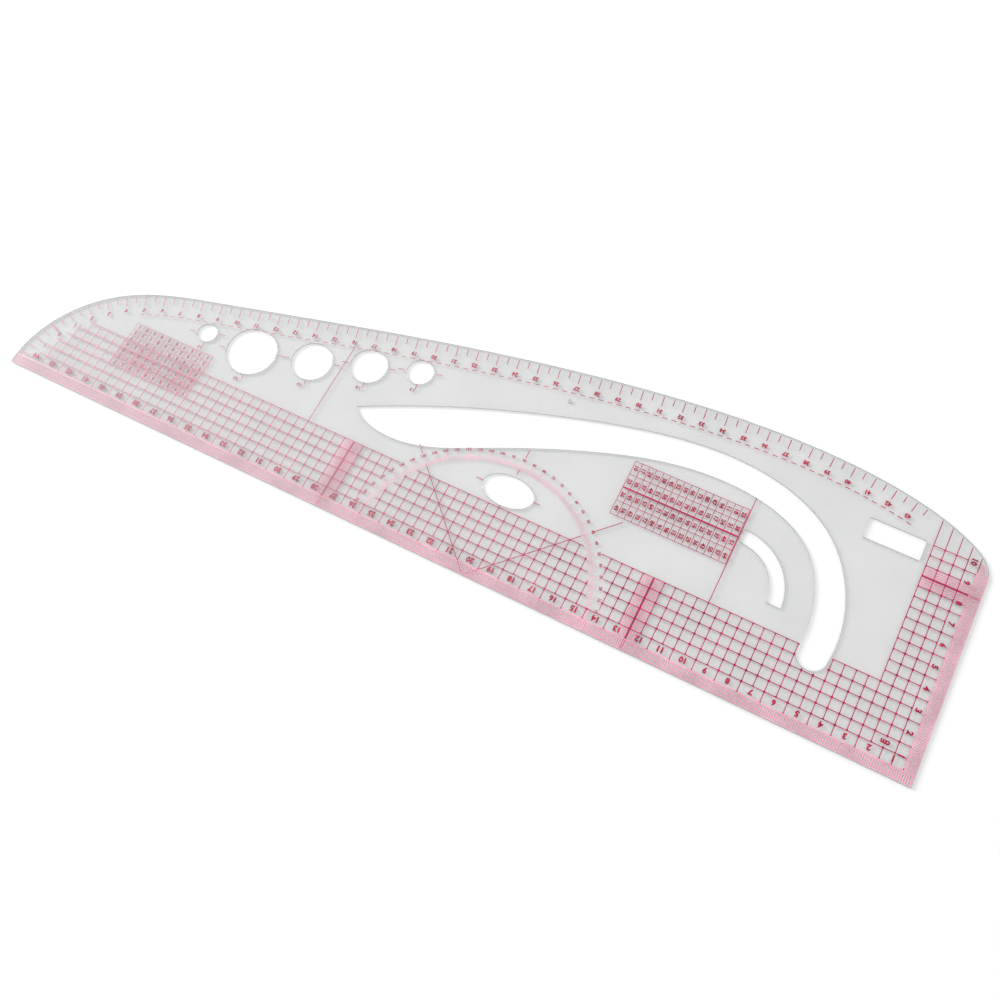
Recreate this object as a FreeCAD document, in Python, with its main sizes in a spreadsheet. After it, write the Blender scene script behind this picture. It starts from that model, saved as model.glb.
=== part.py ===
import FreeCAD, Part
import math
import os

import Sketcher

# A clear pattern-drafting ruler with one straight edge, one curved edge and cut-outs, and the
# crimson print on its top face as thin solids of ink. Sizes are in millimetres.
#
# Places on the ruler are given as (along, out): along runs on the straight edge from the zero
# corner to the tip, and out runs from the straight edge towards the curved edge. The origin is
# under the middle of the ruler's box, +X points at the end edge and +Y at the curved edge.

SIZES = [
    ("sheet_length", 450, "straight edge, zero corner to tip"),
    ("sheet_width", 122, "straight edge to the highest point of the curved edge"),
    ("sheet_thickness", 1.2, "clear sheet"),
    ("end_edge_height", 96, "end edge, zero corner to the start of the curved edge"),
    ("handle_end_radius", 6.6, "round end of the handle cut-out"),
    ("handle_end_along", 53.3, "centre of the round end"),
    ("handle_end_out", 32.8, "centre of the round end"),
    ("handle_tip_along", 283.3, "sharp tip of the handle cut-out"),
    ("handle_tip_out", 51.5, "sharp tip of the handle cut-out"),
    ("ellipse_along", 200, "centre of the elliptical hole"),
    ("ellipse_out", 43.8, "centre of the elliptical hole"),
    ("ellipse_length", 25, "elliptical hole"),
    ("ellipse_height", 15, "elliptical hole"),
    ("slot_along", 40.5, "centre of the rectangular slot"),
    ("slot_out", 96, "centre of the rectangular slot"),
    ("slot_length", 25, "rectangular slot"),
    ("slot_height", 10, "rectangular slot"),
    ("ring_along", 99, "centre of the quarter-ring slot"),
    ("ring_out", 45.8, "centre of the quarter-ring slot"),
    ("ring_inner_radius", 20.3, "quarter-ring slot"),
    ("ring_outer_radius", 26.7, "quarter-ring slot"),
    ("pin_along", 194.8, "pin hole"),
    ("pin_out", 96.3, "pin hole"),
    ("pin_diameter", 1.6, "pin hole"),
    ("ink_thickness", 0.05, "print"),
    ("rung_line", 0.4, "millimetre rungs of the scales and accent bands"),
    ("fine_line", 0.26, "degree ticks and table columns"),
    ("grid_line", 0.36, "grid lines and most ticks"),
    ("bold_line", 0.8, "lines that stand out"),
    ("crossing_fill", 0.42, "ink that fills the corners where grid lines cross"),
    ("edge_gap", 0.3, "clear strip between an edge and its scale"),
    ("scale_band", 5, "width of the millimetre scales"),
    ("grid_pitch", 5, "squares of the grid"),
    ("grid_height", 35, "grid along the straight edge"),
    ("grid_end", 435, "last full line of the grid near the tip"),
    ("end_grid_width", 25, "grid along the end edge"),
    ("end_grid_height", 100, "grid along the end edge"),
    ("riser_gap", 1, "from the grid's upright lines to the curved edge"),
    ("accent_width", 10, "accent bands"),
    ("first_accent_along", 120, "near side of an accent band across the straight scale"),
    ("second_accent_along", 270, "near side of an accent band across the straight scale"),
    ("end_accent_out", 80, "near side of the accent band across the end scale"),
    ("near_divider_along", 100, "divider line towards the end edge"),
    ("near_divider_top", 88, "its far end"),
    ("far_divider_along", 300, "divider line towards the tip"),
    ("far_divider_top", 79.5, "its far end"),
    ("numeral_height", 2.8, "numbers of the straight and end scales"),
    ("numeral_inset", 7.5, "middle of those numbers, from their edge"),
    ("unit_along", 15, "middle of the unit mark"),
    ("unit_out", 12.5, "middle of the unit mark"),
    ("curve_numeral_height", 2.2, "numbers of the curved scale"),
    ("curve_numeral_inset", 8.9, "middle of those numbers, from the curved edge"),
    ("curve_zero", 27, "zero tick of the curved scale, from the tip along the edge"),
    ("curve_pitch", 5, "from tick to tick along the curved edge"),
    ("curve_first_tick", -4, "number of the first tick, counted from the zero tick"),
    ("curve_last_tick", 87, "number of the last tick"),
    ("curve_long_tick", 5, "every second tick of the curved scale"),
    ("curve_short_tick", 3.4, "the ticks between"),
    ("curve_tick_gap", 1.2, "clear strip outside the curved scale"),
    ("seam_inset", 11.5, "dashed line, from the curved edge"),
    ("seam_start", 75, "its first dash, from the tip along the edge"),
    ("seam_dashes", 88, "number of dashes"),
    ("seam_dash", 2.5, "one dash"),
    ("seam_pitch", 4.4, "dash and gap"),
    ("protractor_along", 200, "middle of the protractor, on the straight edge"),
    ("protractor_inner", 55, "inner ends of the degree ticks"),
    ("protractor_outer", 57, "outer ends of the degree ticks"),
    ("protractor_long", 58.4, "outer ends of every fifth tick"),
    ("protractor_numerals", 60.2, "middle of the degree numbers"),
    ("protractor_numeral_height", 1.4, "degree numbers"),
    ("protractor_clear_inner", 54.5, "start of the ring that the grid leaves free"),
    ("protractor_clear_outer", 61.2, "end of that ring"),
    ("grading_left", 154.8, "side of the larger table, towards the tip"),
    ("grading_right", 100.4, "side of the larger table, towards the end edge"),
    ("grading_bottom", 54, "larger table"),
    ("grading_top", 81.6, "larger table"),
    ("button_left", 404.5, "side of the smaller table, towards the tip"),
    ("button_right", 360, "side of the smaller table, towards the end edge"),
    ("button_bottom", 20, "smaller table"),
    ("button_top", 44.6, "smaller table"),
    ("table_numeral_height", 2.1, "numbers of both tables"),
    ("hole_numeral_height", 1.6, "numbers beside the round holes"),
    ("hole_numeral_gap", 3.4, "from a round hole's rim to the middle of its number"),
    ("hole_numeral_shift", 1, "from under the hole's middle, towards the end edge"),
    ("hole_mark_length", 3, "marks around the round holes"),
    ("hole_mark_gap", 1.2, "from a round hole's rim to its side marks"),
    ("hole_mark_slope", 15, "the marks' line from hole to hole, in degrees"),
    ("ellipse_mark_length", 3.3, "marks at the ends of the elliptical hole"),
]

# The five round template holes: along, out, diameter.
ROUND_HOLES = [
    (370, 54.8, 10),
    (344.6, 55.2, 25),
    (315, 63, 20),
    (288.8, 72.5, 18),
    (265, 80, 13),
]

# Points that the curved edge passes through, from the end edge to the tip.
CURVED_EDGE = [
    (0, 96),
    (1.7, 100.4),
    (11, 107.8),
    (36.7, 116.7),
    (86, 122),
    (168.7, 116.2),
    (291.8, 92.1),
    (373.2, 71.6),
    (422.4, 53.1),
    (443, 30.2),
    (449.1, 13.4),
    (450, 0),
]

# Points of the handle cut-out's two long sides, each from after its tip to its round end.
HANDLE_UPPER_SIDE = [
    (240.8, 71.2),
    (185.5, 90.4),
    (149, 99.3),
    (105.2, 101.4),
    (64.9, 85.1),
    (46.7, 50),
    (46.7, 32.8),
]
HANDLE_LOWER_SIDE = [
    (279.5, 48.2),
    (272.4, 45.4),
    (257, 44.4),
    (217.3, 59.1),
    (172.1, 78.3),
    (118.1, 89.5),
    (69.9, 73.1),
    (60.3, 52),
    (59.9, 32.8),
]

# Rays of the protractor, in pieces: angle, start and stop from its middle.
PROTRACTOR_RAYS = [
    (45, 0.5, 57),
    (45, 60.5, 74),
    (90, 35.2, 36.2),
    (90, 52.5, 56.5),
    (90, 61.5, 66),
    (135, 0.5, 57),
    (135, 61.5, 66.5),
]

# Rows of the grid that run on past its last full line, towards the tip: out, length.
GRID_TAILS = [
    (5, 2),
    (10, 5),
    (15, 3.5),
    (20, 1.5),
]

# Rectangles that the grid leaves free: low and high along, low and high out. Three step down
# beside the curved edge near the tip, two go round the handle's end, and one holds the unit.
GRID_FREE_AREAS = [
    (427, 440, 32.5, 37.5),
    (431, 440, 27.5, 37.5),
    (434, 440, 21, 37.5),
    (46, 59.5, 26, 34),
    (45.3, 59.5, 31, 37.5),
    (12.5, 17.5, 10.5, 14.5),
]

UP = FreeCAD.Vector(0, 0, 1)

doc = FreeCAD.newDocument("french_curve_ruler")
sizes = doc.addObject("Spreadsheet::Sheet", "sizes")


def fill_sheet():
    """Writes every driving size to the spreadsheet, one row each, with its alias."""
    rows = list(SIZES)
    for number, (along, out, diameter) in enumerate(ROUND_HOLES, start=1):
        rows.append((f"hole_{number}_along", along, "centre of a round template hole"))
        rows.append((f"hole_{number}_out", out, "centre of a round template hole"))
        rows.append((f"hole_{number}_diameter", diameter, "round template hole"))
    for row, (alias, value, meaning) in enumerate(rows, start=1):
        sizes.set(f"A{row}", meaning)
        sizes.set(f"B{row}", str(value))
        sizes.setAlias(f"B{row}", alias)
    doc.recompute()


fill_sheet()


def size(alias):
    """One driving size from the spreadsheet."""
    return float(getattr(sizes, alias))


def place(along, out):
    """The point at this place on the ruler, in the part's own frame."""
    return FreeCAD.Vector(size("sheet_length") / 2 - along, out - size("sheet_width") / 2, 0)


def smooth_curve(spots):
    """A smooth curve through these places on the ruler."""
    curve = Part.BSplineCurve()
    curve.interpolate([place(along, out) for along, out in spots])
    return curve


# ---------------------------------------------------------------- the clear sheet


def new_sketch(body, name):
    """A sketch on the body's own XY plane."""
    plane = next(item for item in body.Origin.OriginFeatures if item.Role == "XY_Plane")
    sketch = body.newObject("Sketcher::SketchObject", name)
    sketch.AttachmentSupport = (plane, [""])
    sketch.MapMode = "FlatFace"
    return sketch


def bind(sketch, constraint, expression):
    """Adds a dimension to the sketch and ties it to the spreadsheet."""
    index = sketch.addConstraint(constraint)
    sketch.setExpression(f"Constraints[{index}]", expression)


def bind_point(sketch, geometry, point, spot, along, out):
    """Ties a point of the sketch to a place on the ruler, given as two expressions."""
    target = place(*spot)
    sideways = Sketcher.Constraint("DistanceX", -1, 1, geometry, point, target.x)
    upwards = Sketcher.Constraint("DistanceY", -1, 1, geometry, point, target.y)
    bind(sketch, sideways, f"sizes.sheet_length / 2 - ({along})")
    bind(sketch, upwards, f"({out}) - sizes.sheet_width / 2")


def join_ends(sketch, joints):
    """Makes pairs of ends meet. Each joint is (geometry, point, geometry, point)."""
    for joint in joints:
        sketch.addConstraint(Sketcher.Constraint("Coincident", *joint))


def draw_outline(body):
    """The outline: straight edge, end edge and curved edge."""
    sketch = new_sketch(body, "outline")
    zero_corner = (0, 0)
    end_top = (0, size("end_edge_height"))
    tip = (size("sheet_length"), 0)
    straight = sketch.addGeometry(Part.LineSegment(place(*tip), place(*zero_corner)))
    end = sketch.addGeometry(Part.LineSegment(place(*zero_corner), place(*end_top)))
    curved = sketch.addGeometry(smooth_curve(CURVED_EDGE))
    bind_point(sketch, straight, 1, tip, "sizes.sheet_length", "0")
    bind_point(sketch, straight, 2, zero_corner, "0", "0")
    bind_point(sketch, end, 2, end_top, "0", "sizes.end_edge_height")
    join_ends(sketch, [(straight, 2, end, 1), (end, 2, curved, 1), (curved, 2, straight, 1)])
    return sketch


def draw_handle(body):
    """The long handle-shaped cut-out, with a sharp tip and a round end."""
    sketch = new_sketch(body, "handle_outline")
    end_spot = (size("handle_end_along"), size("handle_end_out"))
    tip_spot = (size("handle_tip_along"), size("handle_tip_out"))
    radius = size("handle_end_radius")
    circle = Part.Circle(place(*end_spot), UP, radius)
    upper = sketch.addGeometry(smooth_curve([tip_spot, *HANDLE_UPPER_SIDE]))
    lower = sketch.addGeometry(smooth_curve([tip_spot, *HANDLE_LOWER_SIDE]))
    end = sketch.addGeometry(Part.ArcOfCircle(circle, math.pi, math.tau))
    bind(sketch, Sketcher.Constraint("Radius", end, radius), "sizes.handle_end_radius")
    bind_point(sketch, end, 3, end_spot, "sizes.handle_end_along", "sizes.handle_end_out")
    bind_point(sketch, upper, 1, tip_spot, "sizes.handle_tip_along", "sizes.handle_tip_out")
    join_ends(sketch, [(upper, 1, lower, 1), (upper, 2, end, 2), (lower, 2, end, 1)])
    return sketch


def draw_round_holes(body):
    """The five round template holes."""
    sketch = new_sketch(body, "round_hole_circles")
    for number, _ in enumerate(ROUND_HOLES, start=1):
        name = f"hole_{number}"
        spot = (size(f"{name}_along"), size(f"{name}_out"))
        radius = size(f"{name}_diameter") / 2
        circle = sketch.addGeometry(Part.Circle(place(*spot), UP, radius))
        bind(sketch, Sketcher.Constraint("Radius", circle, radius), f"sizes.{name}_diameter / 2")
        bind_point(sketch, circle, 3, spot, f"sizes.{name}_along", f"sizes.{name}_out")
    return sketch


def draw_ellipse(body):
    """The elliptical hole, its long axis along the ruler."""
    sketch = new_sketch(body, "ellipse_outline")
    centre = place(size("ellipse_along"), size("ellipse_out"))
    half_length = size("ellipse_length") / 2
    half_height = size("ellipse_height") / 2
    end = centre + FreeCAD.Vector(half_length, 0, 0)
    side = centre + FreeCAD.Vector(0, half_height, 0)
    ellipse = sketch.addGeometry(Part.Ellipse(end, side, centre))
    spot = (size("ellipse_along"), size("ellipse_out"))
    bind_point(sketch, ellipse, 3, spot, "sizes.ellipse_along", "sizes.ellipse_out")
    return sketch


def draw_slot(body):
    """The rectangular slot."""
    sketch = new_sketch(body, "slot_outline")
    half_length = size("slot_length") / 2
    half_height = size("slot_height") / 2
    turns = [(1, -1), (-1, -1), (-1, 1), (1, 1)]
    spots = [
        (size("slot_along") + side * half_length, size("slot_out") + end * half_height)
        for side, end in turns
    ]
    lines = [
        sketch.addGeometry(Part.LineSegment(place(*spots[i]), place(*spots[(i + 1) % 4])))
        for i in range(4)
    ]
    for i, (side, end) in enumerate(turns):
        along = f"sizes.slot_along + {side} * sizes.slot_length / 2"
        out = f"sizes.slot_out + {end} * sizes.slot_height / 2"
        bind_point(sketch, lines[i], 1, spots[i], along, out)
        sketch.addConstraint(Sketcher.Constraint("Coincident", lines[i], 2, lines[(i + 1) % 4], 1))
    return sketch


def draw_ring_slot(body):
    """The quarter-ring slot, from straight above its centre to beside it, towards the end edge."""
    sketch = new_sketch(body, "ring_slot_outline")
    spot = (size("ring_along"), size("ring_out"))
    centre = place(*spot)
    arcs = []
    for name in ("ring_inner_radius", "ring_outer_radius"):
        radius = size(name)
        circle = Part.Circle(centre, UP, radius)
        arc = sketch.addGeometry(Part.ArcOfCircle(circle, 0, math.pi / 2))
        bind(sketch, Sketcher.Constraint("Radius", arc, radius), f"sizes.{name}")
        arcs.append(arc)
    inner, outer = arcs
    bind_point(sketch, inner, 3, spot, "sizes.ring_along", "sizes.ring_out")
    sketch.addConstraint(Sketcher.Constraint("Coincident", inner, 3, outer, 3))
    ends = []
    for point, direction in ((1, FreeCAD.Vector(1, 0, 0)), (2, FreeCAD.Vector(0, 1, 0))):
        start = centre + direction * size("ring_inner_radius")
        stop = centre + direction * size("ring_outer_radius")
        end = sketch.addGeometry(Part.LineSegment(start, stop))
        join_ends(sketch, [(end, 1, inner, point), (end, 2, outer, point)])
        ends.append(end)
    sketch.addConstraint(Sketcher.Constraint("Horizontal", ends[0]))
    sketch.addConstraint(Sketcher.Constraint("Vertical", ends[1]))
    return sketch


def draw_pin_hole(body):
    """The small pin hole."""
    sketch = new_sketch(body, "pin_circle")
    spot = (size("pin_along"), size("pin_out"))
    radius = size("pin_diameter") / 2
    circle = sketch.addGeometry(Part.Circle(place(*spot), UP, radius))
    bind(sketch, Sketcher.Constraint("Radius", circle, radius), "sizes.pin_diameter / 2")
    bind_point(sketch, circle, 3, spot, "sizes.pin_along", "sizes.pin_out")
    return sketch


def plugs_of(sketch):
    """What a sketch's outlines should remove, as solids as thick as the sheet."""
    thickness = UP * size("sheet_thickness")
    return Part.makeCompound([Part.Face(wire).extrude(thickness) for wire in sketch.Shape.Wires])


def make_clear_sheet():
    """The sheet: a padded outline with a pocket through it for each kind of cut-out."""
    body = doc.addObject("PartDesign::Body", "clear_sheet")
    body.Label = "clear_sheet"
    outline = draw_outline(body)
    doc.recompute()
    pad = body.newObject("PartDesign::Pad", "sheet")
    pad.Profile = outline
    pad.setExpression("Length", "sizes.sheet_thickness")
    doc.recompute()
    cut_outs = {
        "handle_cut_out": draw_handle,
        "round_holes": draw_round_holes,
        "ellipse_hole": draw_ellipse,
        "rectangular_slot": draw_slot,
        "ring_slot": draw_ring_slot,
        "pin_hole": draw_pin_hole,
    }
    for name, draw in cut_outs.items():
        sketch = draw(body)
        doc.recompute()
        plugs = plugs_of(sketch)
        before = body.Shape.common(plugs).Volume
        pocket = body.newObject("PartDesign::Pocket", name)
        pocket.Profile = sketch
        pocket.Type = "ThroughAll"
        pocket.Reversed = True
        doc.recompute()
        removed = before - body.Shape.common(plugs).Volume
        if abs(removed - plugs.Volume) > 0.001 * plugs.Volume:
            raise RuntimeError(f"{name} removed {removed:.2f} of {plugs.Volume:.2f} mm3")
    return body


# ---------------------------------------------------------------- the print


def flat_shape(points):
    """A flat face inside straight lines through these points."""
    return Part.Face(Part.makePolygon([*points, points[0]]))


def stroke(start, stop, width, square_ends=False):
    """A flat bar from one point to another. Square ends stand half a width past the points."""
    ahead = stop - start
    ahead.normalize()
    side = UP.cross(ahead) * (width / 2)
    spare = ahead * (width / 2 if square_ends else 0)
    start = start - spare
    stop = stop + spare
    return flat_shape([start - side, stop - side, stop + side, start + side])


def line(start_spot, stop_spot, width):
    """A flat bar between two places on the ruler."""
    return stroke(place(*start_spot), place(*stop_spot), width)


def rectangle(low_along, high_along, low_out, high_out, cut=0):
    """The outline of a flat rectangle, its corners cut off by this much."""
    near = size("sheet_length") / 2 - low_along
    far = size("sheet_length") / 2 - high_along
    low = low_out - size("sheet_width") / 2
    high = high_out - size("sheet_width") / 2
    corners = [
        (far + cut, low),
        (near - cut, low),
        (near, low + cut),
        (near, high - cut),
        (near - cut, high),
        (far + cut, high),
        (far, high - cut),
        (far, low + cut),
    ]
    points = [FreeCAD.Vector(x, y, 0) for x, y in (corners if cut else corners[::2])]
    return Part.makePolygon([*points, points[0]])


def net(columns, rows, cut=0):
    """Crossing lines as one face with a window in each gap. Lines are (place, width) pairs."""
    first, last = columns[0], columns[-1]
    bottom, top = rows[0], rows[-1]
    outlines = [
        rectangle(
            first[0] - first[1] / 2,
            last[0] + last[1] / 2,
            bottom[0] - bottom[1] / 2,
            top[0] + top[1] / 2,
        )
    ]
    for (near, near_width), (far, far_width) in zip(columns, columns[1:]):
        for (low, low_width), (high, high_width) in zip(rows, rows[1:]):
            outlines.append(
                rectangle(
                    near + near_width / 2,
                    far - far_width / 2,
                    low + low_width / 2,
                    high - high_width / 2,
                    cut,
                )
            )
    return Part.makeFace(outlines, "Part::FaceMakerBullseye")


def every(first, last, step, width):
    """Lines of one width at equal steps, the last one included."""
    count = round((last - first) / step)
    return [(first + i * step, width) for i in range(count + 1)]


def merge(faces):
    """One flat shape from faces that overlap or share lines."""
    first, *others = faces
    return first.fuse(others).removeSplitter()


flat_prints = {}


def ink(label, shapes, clear_of=()):
    """A sub-part of the print: flat shapes, as thick as the ink, on top of the sheet.

    Where they would cross an earlier sub-part named in clear_of, that one keeps the place.
    """
    flat = Part.makeCompound(shapes)
    if clear_of:
        flat = flat.cut([flat_prints[name] for name in clear_of])
    flat_prints[label] = flat
    thickness = UP * size("ink_thickness")
    feature = doc.addObject("Part::Feature", label)
    feature.Label = label
    feature.Shape = Part.makeCompound([face.extrude(thickness) for face in flat.Faces])
    feature.Placement = FreeCAD.Placement(UP * size("sheet_thickness"), FreeCAD.Rotation())
    feature.setExpression("Placement.Base.z", "sizes.sheet_thickness")
    return feature


# Strokes of the characters, on a lattice one unit wide and two units high.
STROKES = {
    "0": [[(0, 0), (0, 2), (1, 2), (1, 0), (0, 0)]],
    "1": [[(0.5, 0), (0.5, 2)]],
    "2": [[(0, 2), (1, 2), (1, 1), (0, 1), (0, 0), (1, 0)]],
    "3": [[(0, 2), (1, 2), (1, 0), (0, 0)], [(0, 1), (1, 1)]],
    "4": [[(0, 2), (0, 1), (1, 1)], [(1, 2), (1, 0)]],
    "5": [[(1, 2), (0, 2), (0, 1), (1, 1), (1, 0), (0, 0)]],
    "6": [[(1, 2), (0, 2), (0, 0), (1, 0), (1, 1), (0, 1)]],
    "7": [[(0, 2), (1, 2), (1, 0)]],
    "8": [[(0, 0), (0, 2), (1, 2), (1, 0), (0, 0)], [(0, 1), (1, 1)]],
    "9": [[(1, 1), (0, 1), (0, 2), (1, 2), (1, 0), (0, 0)]],
    "c": [[(1, 1), (0, 1), (0, 0), (1, 0)]],
    "m": [[(-0.25, 0), (-0.25, 1), (1.25, 1), (1.25, 0)], [(0.5, 1), (0.5, 0)]],
    ".": [[(0.5, 0), (0.5, 0.1)]],
}
STROKE_SHARE = 0.18
CHARACTER_SHARE = 0.52
SPACING_SHARE = 0.72

drawn_characters = {}


def character(sign, height):
    """One character as a flat face, its middle at the origin."""
    if (sign, height) not in drawn_characters:
        width = height * STROKE_SHARE
        across = height * CHARACTER_SHARE - width
        upward = (height - width) / 2
        bars = []
        for path in STROKES[sign]:
            points = [
                FreeCAD.Vector((x - 0.5) * across, (y - 1) * upward, 0) for x, y in path
            ]
            bars += [stroke(a, b, width, True) for a, b in zip(points, points[1:])]
        drawn_characters[sign, height] = merge(bars) if len(bars) > 1 else bars[0]
    return drawn_characters[sign, height]


def words(text, spot, height, turn):
    """Characters in a row, their middle at a place on the ruler, turned anticlockwise."""
    rotation = FreeCAD.Rotation(UP, turn)
    step = height * SPACING_SHARE
    shapes = []
    for i, sign in enumerate(text):
        offset = FreeCAD.Vector((i - (len(text) - 1) / 2) * step, 0, 0)
        shape = character(sign, height).copy()
        shape.Placement = FreeCAD.Placement(place(*spot) + rotation.multVec(offset), rotation)
        shapes.append(shape)
    return shapes


# Numbers are read with the straight edge on top, and those of the end edge with that edge on top.
STRAIGHT_TURN = 180
END_TURN = -90

curved_edge = smooth_curve(CURVED_EDGE).toShape()


def on_curved_edge(distance, inset):
    """A point this far along the curved edge from the tip and this far inside it."""
    parameter = curved_edge.getParameterByLength(curved_edge.Length - distance)
    ahead = curved_edge.tangentAt(parameter)
    return curved_edge.valueAt(parameter) + UP.cross(ahead) * inset


def below_curved_edge(along, gap):
    """How far out a line from the straight edge runs before it nears the curved edge."""
    ray = Part.makeLine(place(along, 0), place(along, 2 * size("sheet_width")))
    meeting = curved_edge.distToShape(ray)[1][0][0]
    return meeting.y + size("sheet_width") / 2 - gap


def beside_curved_edge(out, gap):
    """Where a line from the end edge starts, once the curved edge has taken the corner off."""
    ray = Part.makeLine(place(0, out), place(size("end_grid_width"), out))
    meeting = curved_edge.distToShape(ray)[1][0][0]
    return size("sheet_length") / 2 - meeting.x + gap


def rungs(first, last):
    """Millimetre rungs of a scale."""
    return every(first, last, 1, size("rung_line"))


def make_scales():
    """Millimetre ladders: one along the straight edge, one from it up the end edge."""
    outer_line = (size("edge_gap"), size("fine_line"))
    inner_line = (size("scale_band"), size("grid_line"))
    last = int(size("sheet_length")) - 1
    straight = net([outer_line, *rungs(1, last)], [outer_line, inner_line])
    ink("straight_edge_scale", [straight])
    first_of_end = int(size("scale_band")) + 1
    last_full = int(size("end_edge_height"))
    end = net([outer_line, inner_line], rungs(first_of_end, last_full))
    stop = size("scale_band") - size("grid_line") / 2
    cut_rungs = []
    for out in range(last_full + 1, int(size("end_grid_height")) + 1):
        start = beside_curved_edge(out, size("curve_tick_gap"))
        cut_rungs.append(line((start, out), (stop, out), size("rung_line")))
    ink("end_edge_scale", [end, *cut_rungs])


def make_numbers():
    """Centimetre numbers of the straight and end scales, and the unit."""
    height = size("numeral_height")
    inset = size("numeral_inset")
    shapes = []
    for centimetre in range(1, 45):
        shapes += words(str(centimetre), (centimetre * 10, inset), height, STRAIGHT_TURN)
    ink("straight_edge_numbers", shapes)
    shapes = []
    for centimetre in range(1, 11):
        shapes += words(str(centimetre), (inset, centimetre * 10), height, END_TURN)
    ink("end_edge_numbers", shapes)
    ink("unit_mark", words("cm", (size("unit_along"), size("unit_out")), height, STRAIGHT_TURN))


def clear_ring():
    """The ring around the protractor that the grid leaves free, above its lowest row."""
    middle = size("protractor_along")
    outer_radius = size("protractor_clear_outer")
    inner_radius = size("protractor_clear_inner")
    outer = Part.Face(Part.Wire(Part.makeCircle(outer_radius, place(middle, 0))))
    inner = Part.Face(Part.Wire(Part.makeCircle(inner_radius, place(middle, 0))))
    low = 2 * size("grid_pitch") + size("grid_line")
    window = rectangle(middle - outer_radius, middle + outer_radius, low, outer_radius)
    return outer.cut(inner).common(Part.Face(window))


def heavy_lines():
    """A heavy line down the middle of each accent band, out to the edge."""
    bold = size("bold_line")
    edge_gap = size("edge_gap")
    half = size("accent_width") / 2
    lines = []
    for first in (size("first_accent_along"), size("second_accent_along")):
        middle = first + half
        lines.append(line((middle, edge_gap), (middle, size("grid_height")), bold))
    middle = size("end_accent_out") + half
    lines.append(line((edge_gap, middle), (size("end_grid_width"), middle), bold))
    return lines


def make_grid():
    """The 5 mm grid along the straight edge and up the end edge."""
    pitch = size("grid_pitch")
    width = size("grid_line")
    top = size("grid_height")
    end = size("grid_end")
    end_width = size("end_grid_width")
    end_top = size("end_grid_height")
    fill = size("crossing_fill")
    first_rows = every(pitch, 2 * pitch, pitch, width)
    number_row = net(every(pitch, end, 2 * pitch, width), first_rows, fill)
    squares = net(every(2 * pitch, end, pitch, width), every(2 * pitch, top, pitch, width), fill)
    number_column = net(first_rows, every(pitch, end_top - pitch, 2 * pitch, width), fill)
    end_columns = every(2 * pitch, end_width, pitch, width)
    end_squares = net(end_columns, every(top, end_top, pitch, width), fill)
    risers = []
    for along, _ in every(pitch, end_width, pitch, width):
        riser_top = below_curved_edge(along, size("riser_gap"))
        risers.append(line((along, end_top - pitch), (along, riser_top), width))
    tails = [line((end, out), (end + length, out), width) for out, length in GRID_TAILS]
    nets = [squares, number_row, number_column, end_squares]
    lines = merge([*nets, *risers, *tails, *heavy_lines()])
    free_areas = [Part.Face(rectangle(*sides)) for sides in GRID_FREE_AREAS]
    grid = lines.cut([clear_ring(), *free_areas])
    ink("square_grid", [grid], ["straight_edge_scale", "end_edge_scale"])


def make_accent_bands():
    """Three bands of the grid filled with millimetre lines."""
    pitch = size("grid_pitch")
    reach = int(size("accent_width"))
    offsets = [step for step in range(1, reach) if step % pitch]
    shapes = []
    top = size("grid_height")
    for first in (size("first_accent_along"), size("second_accent_along")):
        for step in offsets:
            ends = (first + step, pitch), (first + step, top)
            shapes.append(line(*ends, size("rung_line")))
    first = size("end_accent_out")
    width = size("end_grid_width")
    for step in offsets:
        shapes.append(line((pitch, first + step), (width, first + step), size("rung_line")))
    ink("accent_bands", shapes, ["straight_edge_scale", "end_edge_scale", "square_grid"])


def spot_of(point):
    """The place on the ruler of a point in the part's own frame."""
    return size("sheet_length") / 2 - point.x, point.y + size("sheet_width") / 2


def make_curve_scale():
    """Ticks and numbers along the curved edge, and the dashed line inside them."""
    gap = size("curve_tick_gap")
    ticks = []
    shapes = []
    for step in range(int(size("curve_first_tick")), int(size("curve_last_tick")) + 1):
        distance = size("curve_zero") + step * size("curve_pitch")
        length = size("curve_short_tick") if step % 2 else size("curve_long_tick")
        width = size("grid_line") if step else size("bold_line")
        start = on_curved_edge(distance, gap)
        ticks.append(stroke(start, on_curved_edge(distance, gap + length), width))
        if step % 2 == 0 and step > size("curve_first_tick"):
            spot = spot_of(on_curved_edge(distance, size("curve_numeral_inset")))
            height = size("curve_numeral_height")
            shapes += words(str(abs(step // 2)), spot, height, STRAIGHT_TURN)
    ink("curved_edge_scale", ticks, ["square_grid"])
    ink("curved_edge_numbers", shapes)
    dashes = []
    for number in range(int(size("seam_dashes"))):
        distance = size("seam_start") + number * size("seam_pitch")
        start = on_curved_edge(distance, size("seam_inset"))
        stop = on_curved_edge(distance + size("seam_dash"), size("seam_inset"))
        dashes.append(stroke(start, stop, size("grid_line")))
    ink("seam_allowance_line", dashes)


def from_protractor(angle, radius):
    """A point at this angle and distance from the protractor's centre."""
    turn = math.radians(angle)
    centre = place(size("protractor_along"), 0)
    return centre + FreeCAD.Vector(math.cos(turn), math.sin(turn), 0) * radius


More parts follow.
